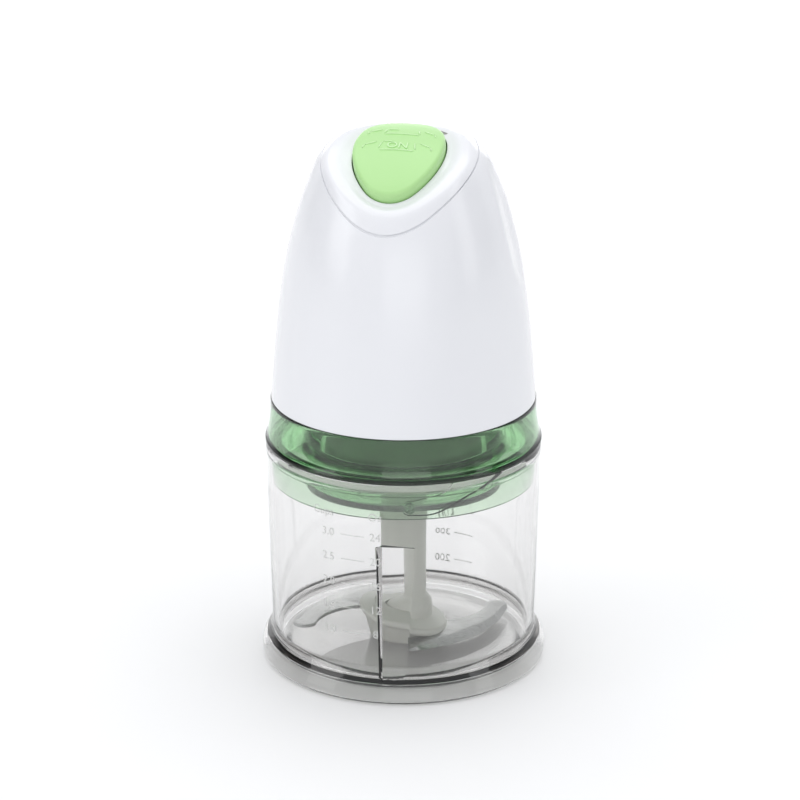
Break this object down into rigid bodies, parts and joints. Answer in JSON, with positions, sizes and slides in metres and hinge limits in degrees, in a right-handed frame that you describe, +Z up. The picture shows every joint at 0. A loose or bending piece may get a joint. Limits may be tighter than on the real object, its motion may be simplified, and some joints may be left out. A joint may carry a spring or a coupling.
{
  "type": "mini food processor",
  "caption": "Mini food processor: clear bowl with S-shaped steel blade, twist-lock green lid and bullet-shaped white motor unit with a green press button on its sloping top.",
  "frame": {"origin": "centre of the bowl's foot ring, on the surface it stands on", "axes": "+Z up along the bowl's and motor's common axis, -Y towards the front (button tip), +X to the right of a viewer at the front"},
  "size_m": [0.1308, 0.1308, 0.2533],
  "materials": {
    "clear_bowl": "clear moulded SAN, polished",
    "green_lid": "transparent green moulded SAN, polished",
    "silicone": "translucent silicone",
    "white_shell": "gloss moulded ABS",
    "green_button": "satin moulded ABS",
    "grey_chassis": "moulded polypropylene",
    "hub_plastic": "moulded acetal",
    "stainless": "ground stainless sheet and bar",
    "steel": "turned or zinc-plated steel",
    "lamination_steel": "varnished laminations",
    "winding_copper": "enamelled copper wire",
    "bronze": "sintered bronze or brass",
    "gear_nylon": "moulded nylon",
    "black_plastic": "moulded thermoplastic",
    "carbon": "pressed carbon",
    "board_laminate": "glass-epoxy laminate",
    "capacitor_case": "moulded case",
    "black_rubber": "moulded rubber"
  },
  "bodies": {
    "bowl": {"bowl": "clear_bowl", "blade_pivot_pin": "stainless"},
    "lid_seal": {"lid_gasket": "silicone"},
    "lid": {"lid": "green_lid"},
    "motor_unit": {"motor_housing": "white_shell", "top_panel": "white_shell", "button_tray": "grey_chassis", "button_spring": "steel", "micro_switch": "black_plastic", "motor_base": "grey_chassis", "housing_screws": "steel", "shaft_seal": "black_rubber", "output_bush": "bronze", "ring_gear": "gear_nylon", "gearbox_case": "black_plastic", "gearbox_cover": "black_plastic", "gearbox_screws": "steel", "motor_mount_plate": "steel", "mount_plate_screws": "steel", "motor_rubber_ring": "black_rubber", "lower_bracket": "steel", "upper_bracket": "steel", "lower_bearing": "bronze", "upper_bearing": "bronze", "stator_core": "lamination_steel", "field_coils": "winding_copper", "brush_holders": "black_plastic", "carbon_brushes": "carbon", "circuit_board": "board_laminate", "filter_capacitor": "capacitor_case", "bridge_rectifier": "black_plastic", "cord_gland": "black_rubber"},
    "power_button": {"power_button": "green_button", "switch_plunger": "black_plastic"},
    "rotor": {"motor_shaft": "steel", "armature_core": "lamination_steel", "armature_windings": "winding_copper", "commutator": "winding_copper", "cooling_fan": "gear_nylon", "sun_gear": "steel"},
    "output_drive": {"planet_carrier": "steel", "planet_pins": "steel", "output_spindle": "steel", "drive_dog": "gear_nylon"},
    "planet_1": {"planet_gear_1": "gear_nylon"},
    "planet_2": {"planet_gear_2": "gear_nylon"},
    "planet_3": {"planet_gear_3": "gear_nylon"},
    "blade_unit": {"blade_hub": "hub_plastic", "hub_bush": "bronze", "lower_blade": "stainless", "upper_blade": "stainless"}
  },
  "joints": [
    {"name": "lid_rise", "type": "slide", "parent": "bowl", "child": "lid_seal", "axis": [0, 0, 1], "range_m": [0, 0.0135]},
    {"name": "lid_twist", "type": "hinge", "parent": "lid_seal", "child": "lid", "pos_m": [0, 0, 0.0938], "axis": [0, 0, 1], "range_deg": [0, 40]},
    {"name": "motor_unit_lift", "type": "slide", "parent": "lid", "child": "motor_unit", "axis": [0, 0, 1], "range_m": [0, 0.06]},
    {"name": "button_press", "type": "slide", "parent": "motor_unit", "child": "power_button", "axis": [0, -0.454, 0.891], "range_m": [-0.0025, 0], "stiffness_N_per_m": 600, "springref_m": 0.006, "deforming": ["button_spring"]},
    {"name": "rotor_spin", "type": "hinge", "parent": "motor_unit", "child": "rotor", "pos_m": [0, 0, 0.165], "axis": [0, 0, 1], "continuous": true},
    {"name": "output_spin", "type": "hinge", "parent": "motor_unit", "child": "output_drive", "pos_m": [0, 0, 0.107], "axis": [0, 0, 1], "continuous": true},
    {"name": "planet_1_spin", "type": "hinge", "parent": "output_drive", "child": "planet_1", "pos_m": [0.012, 0, 0.113], "axis": [0, 0, 1], "continuous": true},
    {"name": "planet_2_spin", "type": "hinge", "parent": "output_drive", "child": "planet_2", "pos_m": [-0.006, 0.01039, 0.113], "axis": [0, 0, 1], "continuous": true},
    {"name": "planet_3_spin", "type": "hinge", "parent": "output_drive", "child": "planet_3", "pos_m": [-0.006, -0.01039, 0.113], "axis": [0, 0, 1], "continuous": true},
    {"name": "blade_spin", "type": "hinge", "parent": "bowl", "child": "blade_unit", "pos_m": [0, 0, 0.02], "axis": [0, 0, 1], "continuous": true}
  ],
  "couplings": [
    {"joint": "lid_rise", "follows": "lid_twist", "m_per_rad": 0.019335},
    {"joint": "output_spin", "follows": "rotor_spin", "ratio": 0.2},
    {"joint": "blade_spin", "follows": "rotor_spin", "ratio": 0.2},
    {"joint": "planet_1_spin", "follows": "rotor_spin", "ratio": -0.53333},
    {"joint": "planet_2_spin", "follows": "rotor_spin", "ratio": -0.53333},
    {"joint": "planet_3_spin", "follows": "rotor_spin", "ratio": -0.53333}
  ]
}
